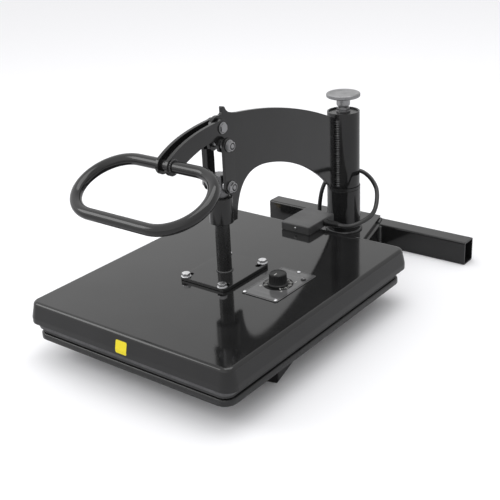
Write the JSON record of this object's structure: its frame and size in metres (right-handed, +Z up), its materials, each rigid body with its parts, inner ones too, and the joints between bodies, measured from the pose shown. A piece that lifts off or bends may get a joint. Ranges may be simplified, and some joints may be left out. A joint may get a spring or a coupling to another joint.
{
  "type": "swing-away heat press",
  "caption": "Swing-away heat press: covered flat platen on a toggle-lever arm that lifts and swings about a rear post, on a splayed tube base.",
  "frame": {"origin": "on the bench surface, under the middle of the press without its loose cord", "axes": "+X to the operator's right, +Y from the operator to the rear post, +Z up"},
  "size_m": [0.498, 0.747, 0.3944],
  "materials": {
    "gloss_black": "high-gloss black powder coat",
    "satin_black": "satin black paint",
    "zinc": "bright zinc plate",
    "machined_steel": "turned and oiled steel",
    "aluminium": "turned and knurled aluminium",
    "cast_aluminium": "cast, machined below, darkened",
    "bronze": "sintered bronze",
    "black_plastic": "fine moulded texture",
    "silicone": "dark silicone sponge",
    "wool": "mineral wool blanket",
    "cord": "smooth rubber jacket",
    "label": "printed aluminium overlay",
    "clear_lens": "frosted neutral lens",
    "white_ink": "printed marks",
    "black_ink": "printed scale",
    "yellow_vinyl": "plain vinyl label"
  },
  "bodies": {
    "base": {"cross_tube": "gloss_black", "leg_left": "gloss_black", "leg_right": "gloss_black", "leg_cap_left": "black_plastic", "leg_cap_right": "black_plastic", "base_plate": "gloss_black", "lower_post": "gloss_black", "spindle": "machined_steel", "lower_table": "satin_black", "silicone_pad": "silicone", "cord_anchor": "black_plastic", "cord_lead": "cord", "cord_coil": "cord", "plug": "black_plastic"},
    "lift": {"lift_collar": "satin_black"},
    "arm": {"arm_sleeve": "gloss_black", "bushing_lower": "bronze", "bushing_upper": "bronze", "sleeve_cap": "satin_black", "cap_nut": "zinc", "arm_plate": "gloss_black", "pivot_bolt": "zinc", "guide_barrel": "gloss_black", "guide_bushing_lower": "black_plastic", "guide_bushing_upper": "black_plastic", "cord_clip": "black_plastic", "cord_loop": "cord", "cord_drop": "cord"},
    "screw": {"pressure_knob": "aluminium", "adjusting_screw": "zinc"},
    "lever": {"lever_plate_left": "gloss_black", "lever_plate_right": "gloss_black", "handle_loop": "gloss_black", "heel_pin": "zinc"},
    "links": {"link_left": "gloss_black", "link_right": "gloss_black", "link_bolt_left": "zinc", "link_bolt_right": "zinc"},
    "head": {"shaft": "machined_steel", "shaft_pin": "zinc", "mounting_plate": "gloss_black", "plate_bolt_1": "zinc", "plate_bolt_2": "zinc", "plate_bolt_3": "zinc", "plate_bolt_4": "zinc", "platen_cover": "gloss_black", "heat_platen": "cast_aluminium", "insulation": "wool", "heating_element": "machined_steel", "thermostat": "black_plastic", "control_panel": "label", "panel_screw_1": "zinc", "panel_screw_2": "zinc", "panel_screw_3": "zinc", "pilot_lamp": "clear_lens", "junction_base": "satin_black", "junction_box": "satin_black", "box_screw": "zinc", "strain_relief": "black_plastic"},
    "dial": {"dial_knob": "black_plastic"}
  },
  "joints": [
    {"name": "pressure_height", "type": "slide", "parent": "base", "child": "lift", "axis": [0, 0, 1], "range_m": [0, 0.006]},
    {"name": "arm_swing", "type": "hinge", "parent": "lift", "child": "arm", "pos_m": [0, 0.2715, 0.15], "axis": [0, 0, 1], "range_deg": [-90, 90]},
    {"name": "pressure_turn", "type": "hinge", "parent": "arm", "child": "screw", "pos_m": [0, 0.2715, 0.32], "axis": [0, 0, 1], "range_deg": [-1080, 0]},
    {"name": "lever_lift", "type": "hinge", "parent": "arm", "child": "lever", "pos_m": [0, -0.1125, 0.364], "axis": [1, 0, 0], "range_deg": [-90, 0]},
    {"name": "head_lift", "type": "slide", "parent": "arm", "child": "head", "axis": [0, 0, 1], "range_m": [0, 0.034]},
    {"name": "link_tilt", "type": "hinge", "parent": "head", "child": "links", "pos_m": [0, -0.1125, 0.266], "axis": [1, 0, 0], "range_deg": [0, 24]},
    {"name": "dial_turn", "type": "hinge", "parent": "head", "child": "dial", "pos_m": [0.104, -0.1015, 0.115], "axis": [0, 0, 1], "range_deg": [0, 270]}
  ],
  "couplings": [
    {"joint": "pressure_turn", "follows": "pressure_height", "rad_per_m": -3141.6},
    {"joint": "head_lift", "follows": "lever_lift", "m_per_rad": -0.021546},
    {"joint": "link_tilt", "follows": "lever_lift", "ratio": -0.26198}
  ]
}
